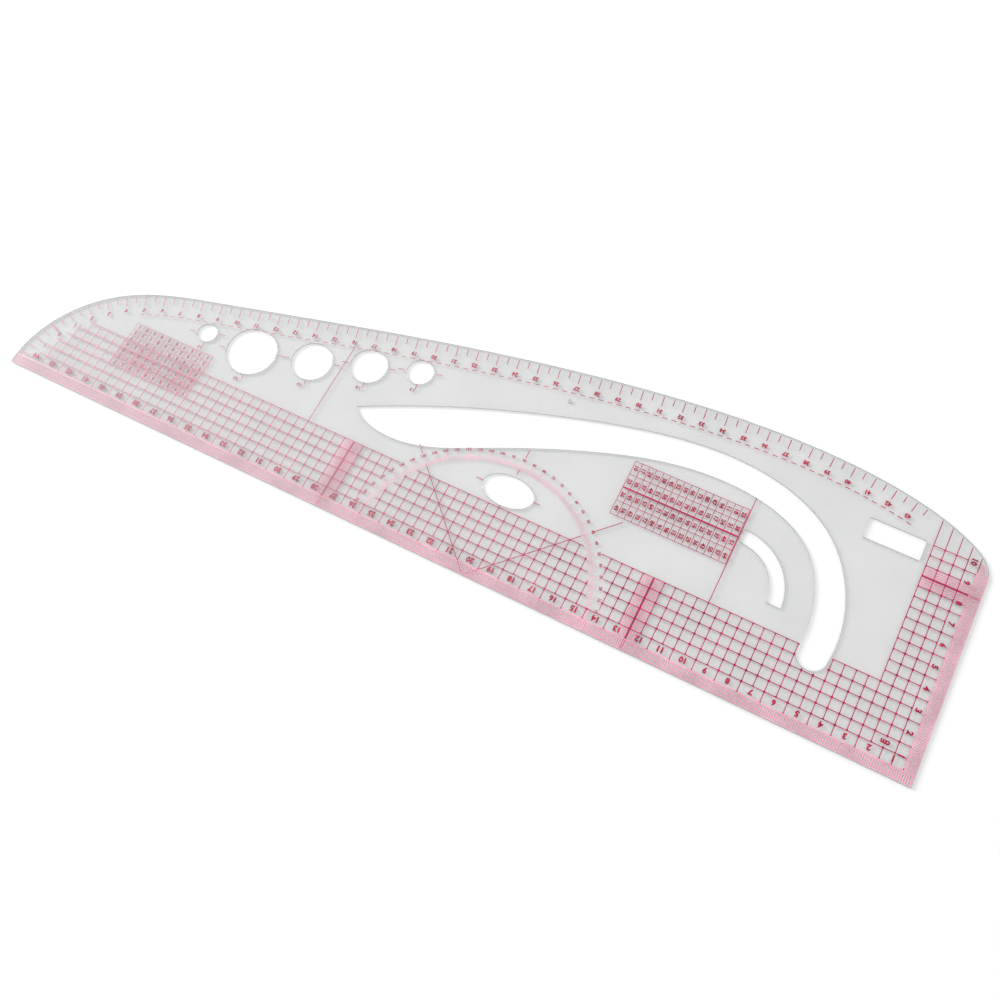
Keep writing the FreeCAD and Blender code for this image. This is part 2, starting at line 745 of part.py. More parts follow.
def make_protractor():
    """Degree ticks, degree numbers and the rays at 45, 90 and 135 degrees."""
    ticks = []
    for angle in range(1, 180):
        outer = size("protractor_outer") if angle % 5 else size("protractor_long")
        start = from_protractor(angle, size("protractor_inner"))
        ticks.append(stroke(start, from_protractor(angle, outer), size("fine_line")))
    ink("protractor_scale", ticks, ["straight_edge_scale", "square_grid"])
    shapes = []
    for angle in range(10, 171, 5):
        spot = spot_of(from_protractor(angle, size("protractor_numerals")))
        shapes += words(str(angle), spot, size("protractor_numeral_height"), angle - 90)
    ink("protractor_numbers", shapes)
    rays = [
        stroke(from_protractor(angle, start), from_protractor(angle, stop), size("grid_line"))
        for angle, start, stop in PROTRACTOR_RAYS
    ]
    crossed = ["straight_edge_scale", "square_grid", "protractor_scale"]
    ink("protractor_rays", [merge(rays)], crossed)


def make_dividers():
    """Two lines that run on from the grid across the clear part of the sheet."""
    shapes = []
    for name in ("near_divider", "far_divider"):
        along = size(f"{name}_along")
        ends = (along, size("grid_height")), (along, size(f"{name}_top"))
        shapes.append(line(*ends, size("grid_line")))
    ink("divider_lines", shapes, ["square_grid"])


def make_table(name, columns, rows, bold_rows, digits, crossed=()):
    """A table of small numbers: its lines, and a number of that many digits in every cell."""
    left = size(f"{name}_left")
    right = size(f"{name}_right")
    bottom = size(f"{name}_bottom")
    top = size(f"{name}_top")
    column_pitch = (left - right) / columns
    row_pitch = (top - bottom) / rows
    column_lines = every(right, left, column_pitch, size("fine_line"))
    row_lines = [
        (bottom + i * row_pitch, size("bold_line" if i in bold_rows else "fine_line"))
        for i in range(rows + 1)
    ]
    ink(f"{name}_table", [net(column_lines, row_lines)], crossed)
    lowest = 10 ** (digits - 1)
    turn = END_TURN if digits > 1 else STRAIGHT_TURN
    shapes = []
    for column in range(columns):
        for row in range(rows):
            spot = (left - (column + 0.5) * column_pitch, top - (row + 0.5) * row_pitch)
            value = lowest + (column * 7 + row * 13) % (9 * lowest)
            shapes += words(str(value), spot, size("table_numeral_height"), turn)
    ink(f"{name}_table_numbers", shapes, [*crossed, f"{name}_table"])


def make_hole_marks():
    """Marks around the round holes and the ellipse, and the round holes' sizes."""
    width = size("grid_line")
    slope = size("hole_mark_slope")
    length = size("hole_mark_length")
    gap = size("hole_mark_gap")
    marks = []
    shapes = []
    for number, _ in enumerate(ROUND_HOLES, start=1):
        along = size(f"hole_{number}_along")
        out = size(f"hole_{number}_out")
        diameter = size(f"hole_{number}_diameter")
        for turn, start in ((0, gap), (180, gap), (-90, 0)):
            heading = math.radians(slope + turn)
            away = FreeCAD.Vector(math.cos(heading), math.sin(heading), 0)
            near = place(along, out) + away * (diameter / 2 + start)
            marks.append(stroke(near, near + away * length, width))
        below = out - diameter / 2 - size("hole_numeral_gap")
        spot = (along - size("hole_numeral_shift"), below)
        text = f"{diameter / 10:.1f}"
        shapes += words(text, spot, size("hole_numeral_height"), STRAIGHT_TURN)
    middle = size("ellipse_out")
    for side in (-1, 1):
        start = size("ellipse_along") + side * size("ellipse_length") / 2
        stop = start + side * size("ellipse_mark_length")
        marks.append(line((start, middle), (stop, middle), width))
    ink("hole_marks", marks)
    ink("hole_numbers", shapes)


make_clear_sheet()
make_scales()
make_numbers()
make_grid()
make_accent_bands()
make_curve_scale()
make_protractor()
make_dividers()
make_table("grading", columns=16, rows=4, bold_rows=(2,), digits=2)
make_table("button", columns=10, rows=7, bold_rows=(), digits=1, crossed=["square_grid"])
make_hole_marks()


def check_and_write():
    """Stops on any failed object, and writes each sub-part to its own file."""
    doc.recompute()
    for item in doc.Objects:
        if {"Invalid", "Error"} & set(item.State):
            raise RuntimeError(f"{item.Label} is {item.State}")
    parts = [item for item in doc.Objects if item.TypeId in ("PartDesign::Body", "Part::Feature")]
    for part in parts:
        if part.Shape.isNull() or not part.Shape.isValid():
            raise RuntimeError(f"{part.Label} has no valid shape")
    os.makedirs("parts", exist_ok=True)
    for part in parts:
        part.Shape.exportStep(f"parts/{part.Label}.step")
        solids = len(part.Shape.Solids)
        faces = len(part.Shape.Faces)
        print(f"{part.Label}: {solids} solids, {faces} faces, {part.Shape.Volume:.2f} mm3")


check_and_write()
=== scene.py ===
"""A clear pattern-drafting ruler with a crimson screen print, finished around its CAD frame.

The sheet gets rounded rims and its clear plastic, the printed lines get their ink, and the
numbers are set in type. Sizes are in metres. Places on the ruler are given as (along, out), as
in the CAD: along runs on the straight edge from the zero corner to the tip, and out runs from
the straight edge to the curved edge. The print is read with the straight edge on top.
"""

import math

import bmesh
import bpy
import numpy
from bpy.props import FloatProperty, FloatVectorProperty, PointerProperty
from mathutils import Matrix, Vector


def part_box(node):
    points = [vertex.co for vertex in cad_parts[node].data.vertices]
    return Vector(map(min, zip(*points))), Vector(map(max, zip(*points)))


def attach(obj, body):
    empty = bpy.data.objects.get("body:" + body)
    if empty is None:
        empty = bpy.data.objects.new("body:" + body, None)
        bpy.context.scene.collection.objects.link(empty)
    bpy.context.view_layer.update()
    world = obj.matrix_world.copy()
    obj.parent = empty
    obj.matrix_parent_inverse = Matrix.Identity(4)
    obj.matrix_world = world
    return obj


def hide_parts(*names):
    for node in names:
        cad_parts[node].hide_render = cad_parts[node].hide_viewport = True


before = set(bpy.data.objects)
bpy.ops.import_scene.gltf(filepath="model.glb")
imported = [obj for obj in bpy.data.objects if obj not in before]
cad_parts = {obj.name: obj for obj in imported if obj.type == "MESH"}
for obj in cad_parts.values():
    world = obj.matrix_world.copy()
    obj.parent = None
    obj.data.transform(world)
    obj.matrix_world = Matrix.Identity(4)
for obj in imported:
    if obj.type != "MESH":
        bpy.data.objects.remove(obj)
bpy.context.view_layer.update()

bl_info = {
    "name": "Pattern Drafting Ruler",
    "version": (1, 0, 0),
    "blender": (4, 5, 0),
    "location": "3D View > Sidebar > Ruler",
    "description": "Clear sheet, screen print and stage of a pattern-drafting ruler",
    "category": "Object",
}

CENTIMETRE = 0.01
SAME_PLACE = 1e-6

sheet_low, sheet_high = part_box("clear_sheet")
ink_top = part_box("square_grid")[1].z
ink_thickness = ink_top - sheet_high.z

# Numbers stand with the straight edge on top, and those of the end edge with that edge on top.
STRAIGHT_TURN = math.pi
END_TURN = -math.pi / 2

# Nodes whose lines lie so close together that they print as a tint.
FINELY_RULED = ("straight_edge_scale", "end_edge_scale", "accent_bands", "protractor_scale")

# A face is level when the upright part of its normal is over this.
LEVEL = 0.999

# How the copy of the CAD's sheet is cleaned, bevelled and shaded.
FLAT_ANGLE = math.radians(0.2)
RIM_ANGLE = math.radians(40)
SMOOTH_ANGLE = math.radians(20)
RIM_SEGMENTS = 2

# A round template hole's rim has more corners than this, strays from a circle by less than this
# share of its radius, and is wider than the pin hole.
ROUND_RIM_CORNERS = 12
ROUND_RIM_STRAY = 0.02
PIN_HOLE_LIMIT = 0.002

# Columns, rows, digits and turn of each printed table's numbers, and the steps that make them up.
TABLES = {
    "grading_table": (16, 4, 2, END_TURN),
    "button_table": (10, 7, 1, STRAIGHT_TURN),
}
COLUMN_STEP = 7
ROW_STEP = 13

# Every second tick of the curved scale is long, and each long one but the first has a number.
# From the tip on, the numbers read 1, 0, 1, 2 and so on.
NUMBERED_TICKS = slice(2, None, 2)
FIRST_CURVE_NUMBER = -1

# The protractor's numbers, in degrees.
FIRST_DEGREES = 10
LAST_DEGREES = 170
DEGREES_STEP = 5

# A round hole's size stands this far from the hole's middle towards the end edge.
HOLE_NUMBER_ASIDE = 0.001

# Straight runs in each curve of a number's outline.
TYPE_RUNS = 2

WHITE = (1, 1, 1, 1)
SENSOR_WIDTH = 36
NEAREST_SEEN = 0.01


# ---------------------------------------------------------------- what a user would change


class RulerPrint(bpy.types.PropertyGroup):
    """Sizes of the numbers in the print."""

    scale_number_height: FloatProperty(
        name="Scale number height",
        description="Height of the centimetre numbers along the straight and end edges",
        default=0.0028,
        unit="LENGTH",
    )
    scale_number_inset: FloatProperty(
        name="Scale number inset",
        description="From an edge to the middle of its centimetre numbers",
        default=0.0075,
        unit="LENGTH",
    )
    unit_height: FloatProperty(
        name="Unit height",
        description="Height of the lower-case unit beside the first number",
        default=0.0019,
        unit="LENGTH",
    )
    unit_place: FloatVectorProperty(
        name="Unit place",
        description="Middle of the unit, along and out from the zero corner",
        size=2,
        default=(0.015, 0.0125),
        unit="LENGTH",
    )
    curve_number_height: FloatProperty(
        name="Curve number height",
        description="Height of the centimetre numbers along the curved edge",
        default=0.0022,
        unit="LENGTH",
    )
    curve_number_gap: FloatProperty(
        name="Curve number gap",
        description="From the middle of a tick of the curved scale to the middle of its number",
        default=0.0052,
        unit="LENGTH",
    )
    degree_number_height: FloatProperty(
        name="Degree number height",
        description="Height of the protractor's numbers",
        default=0.0014,
        unit="LENGTH",
    )
    degree_number_gap: FloatProperty(
        name="Degree number gap",
        description="From the outer ends of the protractor's ticks to the middle of its numbers",
        default=0.0018,
        unit="LENGTH",
    )
    table_number_height: FloatProperty(
        name="Table number height",
        description="Height of the numbers in both tables",
        default=0.0021,
        unit="LENGTH",
    )
    hole_number_height: FloatProperty(
        name="Hole number height",
        description="Height of the sizes printed beside the round holes",
        default=0.0016,
        unit="LENGTH",
    )
    hole_number_gap: FloatProperty(
        name="Hole number gap",
        description="From the rim of a round hole to the middle of its printed size",
        default=0.0034,
        unit="LENGTH",
    )
    weight: FloatProperty(
        name="Weight",
        description="How far the scale numbers' outlines are fattened, as a share of type size",
        default=0.055,
        min=0,
        max=0.1,
        subtype="FACTOR",
    )
    table_weight: FloatProperty(
        name="Table weight",
        description="The same for the small numbers: tables, degrees and holes",
        default=0.042,
        min=0,
        max=0.1,
        subtype="FACTOR",
    )
    type_lift: FloatProperty(
        name="Type lift",
        description="How far the numbers stand over the lines, as a second layer of ink",
        default=0.00001,
        unit="LENGTH",
    )


class RulerFinish(bpy.types.PropertyGroup):
    """Colours and surface of the sheet and of the ink."""

    rim_radius: FloatProperty(
        name="Rim radius",
        description="Rounding of the sheet's cut rims",
        default=0.00015,
        unit="LENGTH",
    )
    face_tint: FloatVectorProperty(
        name="Face tint",
        description="What one polished face lets through",
        subtype="COLOR",
        size=3,
        min=0,
        max=1,
        default=(0.949, 0.95, 0.951),
    )
    wall_tint: FloatVectorProperty(
        name="Wall tint",
        description="What a cut wall lets through",
        subtype="COLOR",
        size=3,
        min=0,
        max=1,
        default=(0.64, 0.65, 0.66),
    )
    wall_frost: FloatProperty(
        name="Wall frost",
        description="How much of a cut wall is frosted by the saw",
        default=0.35,
        min=0,
        max=1,
        subtype="FACTOR",
    )
    gloss_roughness: FloatProperty(
        name="Gloss roughness",
        description="Roughness of the polished faces",
        default=0.06,
        min=0,
        max=1,
        subtype="FACTOR",
    )
    fine_line_ink: FloatVectorProperty(
        name="Fine line ink",
        description="Ink of the densely ruled edges, bands and protractor, where it lies thin",
        subtype="COLOR",
        size=3,
        min=0,
        max=1,
        default=(0.88, 0.36, 0.47),
    )
    line_ink: FloatVectorProperty(
        name="Line ink",
        description="Ink of the grid, the tables and the other lines",
        subtype="COLOR",
        size=3,
        min=0,
        max=1,
        default=(0.42, 0.01, 0.075),
    )
    # Painted light: the next four settings paint the ink paler towards the tip, standing in for the
    # brighter light that falls there.
    worn_ink: FloatVectorProperty(
        name="Worn ink",
        description="Colour that all the ink fades towards at the tip",
        subtype="COLOR",
        size=3,
        min=0,
        max=1,
        default=(0.95, 0.75, 0.8),
    )
    line_wear: FloatProperty(
        name="Line wear",
        description="How far the lines have faded at the tip",
        default=0.5,
        min=0,
        max=1,
        subtype="FACTOR",
    )
    number_wear: FloatProperty(
        name="Number wear",
        description="How far the numbers have faded at the tip",
        default=0.32,
        min=0,
        max=1,
        subtype="FACTOR",
    )
    wear_end: FloatProperty(
        name="Wear end",
        description="Where the fading ends, from the ruler's middle towards the end edge",
        default=0.1,
        unit="LENGTH",
    )
    number_ink: FloatVectorProperty(
        name="Number ink",
        description="Ink of the numbers, where it lies thicker",
        subtype="COLOR",
        size=3,
        min=0,
        max=1,
        default=(0.42, 0.01, 0.05),
    )


class RulerStage(bpy.types.PropertyGroup):
    """Floor, light and camera."""

    floor_size: FloatProperty(
        name="Floor size",
        description="Side of the square floor",
        default=8.0,
        unit="LENGTH",
    )
    floor_gap: FloatProperty(
        name="Floor gap",
        description="Air between the floor and the sheet, so that their faces never coincide",
        default=0.00005,
        unit="LENGTH",
    )
    floor_colour: FloatVectorProperty(
        name="Floor colour",
        description="Colour of the plain floor",
        subtype="COLOR",
        size=3,
        min=0,
        max=1,
        default=(0.9, 0.9, 0.9),
    )
    sky_strength: FloatProperty(
        name="Sky strength",
        description="Strength of the white light from all round",
        default=0.85,
        min=0,
    )
    lamp_power: FloatProperty(
        name="Lamp power",
        description="Power of the large soft lamp beyond the tip",
        default=118,
        min=0,
        unit="POWER",
    )
    lamp_size: FloatProperty(
        name="Lamp size",
        description="Side of the soft lamp",
        default=1.8,
        unit="LENGTH",
    )
    lamp_place: FloatVectorProperty(
        name="Lamp place",
        description="Where the soft lamp hangs",
        size=3,
        subtype="TRANSLATION",
        unit="LENGTH",
        default=(-3.6, 0.4, 2.05),
    )
    camera_place: FloatVectorProperty(
        name="Camera place",
        description="Where the camera stands",
        size=3,
        subtype="TRANSLATION",
        unit="LENGTH",
        default=(0.13522, -0.17323, 0.44449),
    )
    camera_turn: FloatVectorProperty(
        name="Camera turn",
        description="How the camera is turned",
        size=3,
        subtype="EULER",
        unit="ROTATION",
        default=(math.radians(22.597), math.radians(3.848), math.radians(27.32)),
    )
    camera_lens: FloatProperty(
        name="Camera lens",
        description="Focal length of the camera, in millimetres",
        default=38.94,
        min=1,
        unit="CAMERA",
    )


# ---------------------------------------------------------------- materials

# Scales of patterns are in features per metre. A contrast is the stretch of a pattern's values
# that is spread from one end of the pattern to the other.

# The plastic: a faint cloud in its tint, and fine scuffs along it that dull its gloss.
CLOUD_SCALE = 30
CLOUD_DETAIL = 2
CLOUD_CONTRAST = (0.3, 0.7)
CLOUD_SHADE = 0.985
SCUFF_SCALE = 260
SCUFF_DETAIL = 4
SCUFF_SQUEEZE = (1, 14, 1)
SCUFF_CONTRAST = (0.45, 0.75)
SCUFF_DULLING = 3
WALL_TO_FACE = (0.3, 0.95)
FROST_ROUGHNESS = 0.55

# How much the plastic mirrors, from head on to edge on, and how suddenly that rises.
MIRRORED = (0.04, 1)
MIRROR_RISE = 5
EVEN_BLEND = 0.5

# The ink: a slow drift in its depth, and a fine grain that speckles and roughens it.
DRIFT_SCALE = 70
DRIFT_DETAIL = 3
DRIFT_CONTRAST = (0.35, 0.65)
DEEP_SHARE = 0.8
THIN_SHARE = 1.2
THIN_LEAST = 0.01
GRAIN_SCALE = 5000
GRAIN_DETAIL = 2
SPECKLE_CONTRAST = (0.55, 0.75)
SPECKLES = (0, 0.35)
SATIN_CONTRAST = (0.3, 0.7)
SATIN_ROUGHNESS = (0.38, 0.55)
GRAIN_BUMP = 0.25
GRAIN_DEPTH = 0.00002
INK_SHINE = 0.2

FLOOR_ROUGHNESS = 0.8

# The Mix node's sockets for colours, numbered because its other sockets have the same names.
MIX_INPUTS = (0, 6, 7)
MIX_RESULT = 2


def add_node(tree, kind, inputs=None, **settings):
    """Adds a node. Its inputs are values, or the outputs of other nodes, by socket name or number."""
    node = tree.nodes.new(kind)
    for name, value in settings.items():
        setattr(node, name, value)
    for name, value in (inputs or {}).items():
        if isinstance(value, bpy.types.NodeSocket):
            tree.links.new(value, node.inputs[name])
        else:
            node.inputs[name].default_value = value
    return node


def new_material(name):
    """An empty material, with its node tree and its output node."""
    material = bpy.data.materials.new(name)
    material.use_nodes = True
    tree = material.node_tree
    tree.nodes.clear()
    return material, tree, tree.nodes.new("ShaderNodeOutputMaterial")


def noise(tree, scale, detail, squeeze=(1, 1, 1)):
    """A noise on the object's own coordinates, made finer along each axis by its squeeze."""
    where = add_node(tree, "ShaderNodeTexCoord").outputs["Object"]
    mapped = add_node(tree, "ShaderNodeMapping", {"Vector": where, "Scale": squeeze})
    inputs = {"Vector": mapped.outputs["Vector"], "Scale": scale, "Detail": detail}
    return add_node(tree, "ShaderNodeTexNoise", inputs).outputs["Fac"]


def ranged(tree, value, old, new=(0, 1)):
    """Maps a value from one range to another, held inside the new one."""
    inputs = {
        "Value": value,
        "From Min": old[0],
        "From Max": old[1],
        "To Min": new[0],
        "To Max": new[1],
    }
    return add_node(tree, "ShaderNodeMapRange", inputs).outputs["Result"]


def mixed_colour(tree, share, first, second):
    """A colour between two others."""
    node = add_node(tree, "ShaderNodeMix", data_type="RGBA")
    factor, colour_a, colour_b = (node.inputs[number] for number in MIX_INPUTS)
    tree.links.new(share, factor)
    for socket, colour in ((colour_a, first), (colour_b, second)):
        if isinstance(colour, bpy.types.NodeSocket):
            tree.links.new(colour, socket)
        else:
            socket.default_value = (*colour, 1)
    return node.outputs[MIX_RESULT]


def mixed_shader(tree, share, first, second):
    """One shader over another, by a share."""
    inputs = {0: share, 1: first, 2: second}
    return add_node(tree, "ShaderNodeMixShader", inputs).outputs["Shader"]


def clear_plastic(finish):
    """Clear polished sheet: see-through scuffed faces, and greyer, partly frosted cut walls."""
    material, tree, output = new_material("clear_plastic")
    normal = add_node(tree, "ShaderNodeNewGeometry").outputs["Normal"]
    split = add_node(tree, "ShaderNodeSeparateXYZ", {"Vector": normal})
    upright = add_node(tree, "ShaderNodeMath", {0: split.outputs["Z"]}, operation="ABSOLUTE")
    on_face = ranged(tree, upright.outputs["Value"], WALL_TO_FACE)
    cloud = ranged(tree, noise(tree, CLOUD_SCALE, CLOUD_DETAIL), CLOUD_CONTRAST)
    shaded = tuple(channel * CLOUD_SHADE for channel in finish.face_tint)
    face = mixed_colour(tree, cloud, shaded, tuple(finish.face_tint))
    tint = mixed_colour(tree, on_face, tuple(finish.wall_tint), face)
    see_through = add_node(tree, "ShaderNodeBsdfTransparent", {"Color": tint})
    scuffs = noise(tree, SCUFF_SCALE, SCUFF_DETAIL, SCUFF_SQUEEZE)
    dulled = finish.gloss_roughness * SCUFF_DULLING
    roughness = ranged(tree, scuffs, SCUFF_CONTRAST, (finish.gloss_roughness, dulled))
    gloss = add_node(tree, "ShaderNodeBsdfGlossy", {"Roughness": roughness})
    weight = add_node(tree, "ShaderNodeLayerWeight", {"Blend": EVEN_BLEND})
    slant = {0: weight.outputs["Facing"], 1: MIRROR_RISE}
    steep = add_node(tree, "ShaderNodeMath", slant, operation="POWER")
    mirrored = ranged(tree, steep.outputs["Value"], (0, 1), MIRRORED)
    polished = mixed_shader(tree, mirrored, see_through.outputs["BSDF"], gloss.outputs["BSDF"])
    frosted = add_node(
        tree,
        "ShaderNodeBsdfPrincipled",
        {"Base Color": (*finish.wall_tint, 1), "Roughness": FROST_ROUGHNESS},
    )
    frost = ranged(tree, on_face, (0, 1), (finish.wall_frost, 0))
    surface = mixed_shader(tree, frost, polished, frosted.outputs["BSDF"])
    tree.links.new(surface, output.inputs["Surface"])
    return material


def screen_print(name, colour, tip_light_strength, finish):
    """Satin ink laid through a mesh: it drifts in depth, has a grain, and has painted light that
    makes it paler at the tip.
    """
    material, tree, output = new_material(name)
    deep = tuple(channel * DEEP_SHARE for channel in colour)
    thin = tuple(min(1, channel * THIN_SHARE + THIN_LEAST) for channel in colour)
    drift = ranged(tree, noise(tree, DRIFT_SCALE, DRIFT_DETAIL), DRIFT_CONTRAST)
    body = mixed_colour(tree, drift, deep, thin)
    where = add_node(tree, "ShaderNodeTexCoord").outputs["Object"]
    along = add_node(tree, "ShaderNodeSeparateXYZ", {"Vector": where}).outputs["X"]
    # Painted light: from the tip to the end setting, the ink is mixed towards a pale colour, as if
    # lit more brightly there.
    tip_light_mask = ranged(tree, along, (sheet_low.x, finish.wear_end), (tip_light_strength, 0))
    body_with_tip_light = mixed_colour(tree, tip_light_mask, body, tuple(finish.worn_ink))
    grain = noise(tree, GRAIN_SCALE, GRAIN_DETAIL)
    speckles = ranged(tree, grain, SPECKLE_CONTRAST, SPECKLES)
    speckled = mixed_colour(tree, speckles, body_with_tip_light, thin)
    roughness = ranged(tree, grain, SATIN_CONTRAST, SATIN_ROUGHNESS)
    relief = {"Strength": GRAIN_BUMP, "Distance": GRAIN_DEPTH, "Height": grain}
    bump = add_node(tree, "ShaderNodeBump", relief)
    ink = add_node(
        tree,
        "ShaderNodeBsdfPrincipled",
        {
            "Base Color": speckled,
            "Roughness": roughness,
            "Normal": bump.outputs["Normal"],
            "Specular IOR Level": INK_SHINE,
        },
    )
    tree.links.new(ink.outputs["BSDF"], output.inputs["Surface"])
    return material


def give(piece, material):
    """Makes this the piece's only material."""
    piece.data.materials.clear()
    piece.data.materials.append(material)


# ---------------------------------------------------------------- places on the ruler


def place(along, out):
    """A point on the printed face, from the zero corner."""
    return Vector((sheet_high.x - along, sheet_low.y + out, sheet_high.z))


def merged_mesh(node):
    """A CAD node's mesh with its triangles joined up. The caller frees it."""
    mesh = bmesh.new()
    mesh.from_mesh(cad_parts[node].data)
    bmesh.ops.remove_doubles(mesh, verts=mesh.verts, dist=SAME_PLACE)
    return mesh


def linked_corners(edges):
    """The places of the corners of each connected set of these edges."""
    near = {}
    for edge in edges:
        first, second = edge.verts
        near.setdefault(first, []).append(second)
        near.setdefault(second, []).append(first)
    groups = []
    seen = set()
    for start in near:
        if start in seen:
            continue
        seen.add(start)
        group = [start]
        for corner in group:
            fresh = [other for other in near[corner] if other not in seen]
            seen.update(fresh)
            group.extend(fresh)
        groups.append([corner.co.copy() for corner in group])
    return groups


def round_holes():
    """Centre and radius of each round template hole, from the tip on. The pin hole is left out."""
    mesh = merged_mesh("clear_sheet")
    top = sheet_high.z - SAME_PLACE
    rims = [
        edge
        for edge in mesh.edges
        if min(corner.co.z for corner in edge.verts) > top
        and edge.calc_face_angle(0) > RIM_ANGLE
    ]
    holes = []
    for corners in linked_corners(rims):
        centre = sum(corners, Vector()) / len(corners)
        radii = [(corner - centre).length for corner in corners]
        radius = max(radii)
        stray = radius - min(radii)
        is_round = len(corners) > ROUND_RIM_CORNERS and stray < ROUND_RIM_STRAY * radius
        if is_round and radius > PIN_HOLE_LIMIT:
            holes.append((centre, radius))
    mesh.free()
    return sorted(holes, key=lambda hole: hole[0].x)


def curve_ticks():
    """Middle and inward direction of each tick of the curved scale, from the tip to the end edge."""
    mesh = merged_mesh("curved_edge_scale")
    inside = place((sheet_high.x - sheet_low.x) / 2, 0)
    ticks = []
    for corners in linked_corners(mesh.edges):
        middle = sum(corners, Vector()) / len(corners)
        spread = numpy.array([(corner - middle).xy for corner in corners])
        along_tick = numpy.linalg.eigh(spread.T @ spread)[1][:, -1]
        inward = Vector((*along_tick, 0))
        if inward.dot(inside - middle) < 0:
            inward.negate()
        ticks.append((middle, inward))
    mesh.free()

    def bearing(tick):
        away = tick[0] - inside
        return -math.atan2(away.y, away.x)

    return sorted(ticks, key=bearing)


# ---------------------------------------------------------------- pieces


def deselect_all():
    """Leaves nothing selected, so that an operator acts on what is selected next."""
    if bpy.context.object and bpy.context.object.mode != "OBJECT":
        bpy.ops.object.mode_set(mode="OBJECT")
    bpy.ops.object.select_all(action="DESELECT")


def select_only(*pieces):
    """Selects these pieces and makes the first one active."""
    deselect_all()
    for piece in pieces:
        piece.select_set(True)
    bpy.context.view_layer.objects.active = pieces[0]


def set_type(text, middle, turn, height, weight, lift):
    """A number in type, a little thicker than the ink, its middle over a point on the sheet."""
    deselect_all()
    bpy.ops.object.text_add()
    number = bpy.context.object
    number.data.body = text
    number.data.resolution_u = TYPE_RUNS
    number.data.bevel_depth = weight
    number.data.bevel_resolution = 0
    bpy.ops.object.convert(target="MESH")
    number = bpy.context.object
    bpy.ops.object.origin_set(type="ORIGIN_GEOMETRY", center="BOUNDS")
    share = height / number.dimensions.y
    thickness = ink_thickness + 2 * lift
    number.scale = (share, share, thickness / number.dimensions.z)
    number.rotation_euler.z = turn
    number.location = (middle.x, middle.y, sheet_high.z + ink_thickness / 2)
    bpy.ops.object.transform_apply()
    return number


def number_material():
    """The ink of the numbers, made once."""
    finish = bpy.context.scene.ruler_finish
    name = "crimson_number_print"
    # The numbers take their own, smaller share of the painted light at the tip.
    made = bpy.data.materials.get(name)
    return made or screen_print(name, finish.number_ink, finish.number_wear, finish)


def set_numbers(name, node, entries, height, weight):
    """One piece made of numbers in type. It stands for the CAD node that has the same numbers."""
    lift = bpy.context.scene.ruler_print.type_lift
    numbers = [set_type(*entry, height, weight, lift) for entry in entries]
    select_only(*numbers)
    if len(numbers) > 1:
        bpy.ops.object.join()
    piece = bpy.context.object
    piece.name = name
    piece.data.name = name
    give(piece, number_material())
    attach(piece, "root")
    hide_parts(node)


def table_entries(node, columns, rows, digits, turn):
    """A made-up number of this many digits for the middle of each cell of a printed table."""
    low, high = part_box(node)
    first = 10 ** (digits - 1)
    entries = []
    for column in range(columns):
        for row in range(rows):
            value = first + (column * COLUMN_STEP + row * ROW_STEP) % (9 * first)
            middle = Vector(
                (
                    low.x + (high.x - low.x) * (column + 0.5) / columns,
                    high.y - (high.y - low.y) * (row + 0.5) / rows,
                    0,
                )
            )
            entries.append((str(value), middle, turn))
    return entries


class RULER_OT_clear_sheet(bpy.types.Operator):
    """Rounds the cut rims of the clear sheet and gives it its plastic"""

    bl_idname = "ruler.clear_sheet"
    bl_label = "Clear sheet"

    def execute(self, context):
        finish = context.scene.ruler_finish
        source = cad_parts["clear_sheet"]
        sheet = bpy.data.objects.new("ruler_sheet", source.data.copy())
        context.scene.collection.objects.link(sheet)
        select_only(sheet)
        bpy.ops.mesh.customdata_custom_splitnormals_clear()
        bpy.ops.object.mode_set(mode="EDIT")
        bpy.ops.mesh.select_all(action="SELECT")
        bpy.ops.mesh.remove_doubles(threshold=SAME_PLACE)
        bpy.ops.mesh.dissolve_limited(angle_limit=FLAT_ANGLE)
        bpy.ops.mesh.select_mode(type="EDGE")
        bpy.ops.mesh.select_all(action="DESELECT")
        bpy.ops.mesh.edges_select_sharp(sharpness=RIM_ANGLE)
        bpy.ops.mesh.bevel(offset=finish.rim_radius, segments=RIM_SEGMENTS, affect="EDGES")
        bpy.ops.object.mode_set(mode="OBJECT")
        bpy.ops.object.shade_smooth_by_angle(angle=SMOOTH_ANGLE)
        for face in sheet.data.polygons:
            face.use_smooth = abs(face.normal.z) < LEVEL
        give(sheet, clear_plastic(finish))
        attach(sheet, "root")
        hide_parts("clear_sheet")
        return {"FINISHED"}


class RULER_OT_printed_lines(bpy.types.Operator):
    """Gives the printed lines, grid and table frames their ink"""

    bl_idname = "ruler.printed_lines"
    bl_label = "Printed lines"

    def execute(self, context):
        finish = context.scene.ruler_finish
        # How far the painted light pales the lines at the tip.
        tip_light_strength = finish.line_wear
        fine_ink = screen_print("pink_fine_print", finish.fine_line_ink, tip_light_strength, finish)
        ink = screen_print("crimson_line_print", finish.line_ink, tip_light_strength, finish)
        for name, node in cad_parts.items():
            if name in FINELY_RULED:
                give(node, fine_ink)
            elif name != "clear_sheet":
                give(node, ink)
        return {"FINISHED"}


